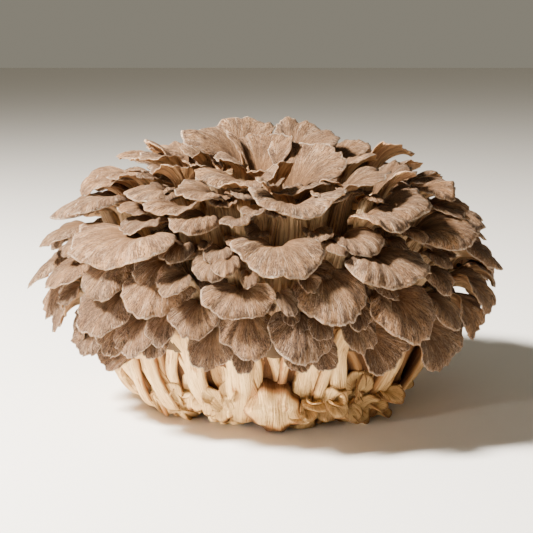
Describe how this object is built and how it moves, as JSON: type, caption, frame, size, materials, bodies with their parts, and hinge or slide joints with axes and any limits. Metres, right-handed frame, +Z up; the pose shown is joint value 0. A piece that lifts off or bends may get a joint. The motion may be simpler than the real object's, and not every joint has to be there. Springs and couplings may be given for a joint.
{
  "type": "maitake mushroom",
  "caption": "Wild-form maitake cluster: a dome of overlapping wavy brown fan-shaped fronds on a short pale base of fused, flaring stems, trimmed level to stand.",
  "frame": {"origin": "middle of the level cut face that the cluster stands on", "axes": "+Z up through the head, +X along its longest side, -Y towards its front"},
  "size_m": [0.2603, 0.2391, 0.158],
  "materials": {
    "stem_flesh": "matt, fibrous, cream with tan stains",
    "cap_skin": "matt, felted, grey-brown with a paler rim"
  },
  "bodies": {
    "root": {"stem_base": "stem_flesh", "frond_crown": "cap_skin"}
  },
  "joints": []
}
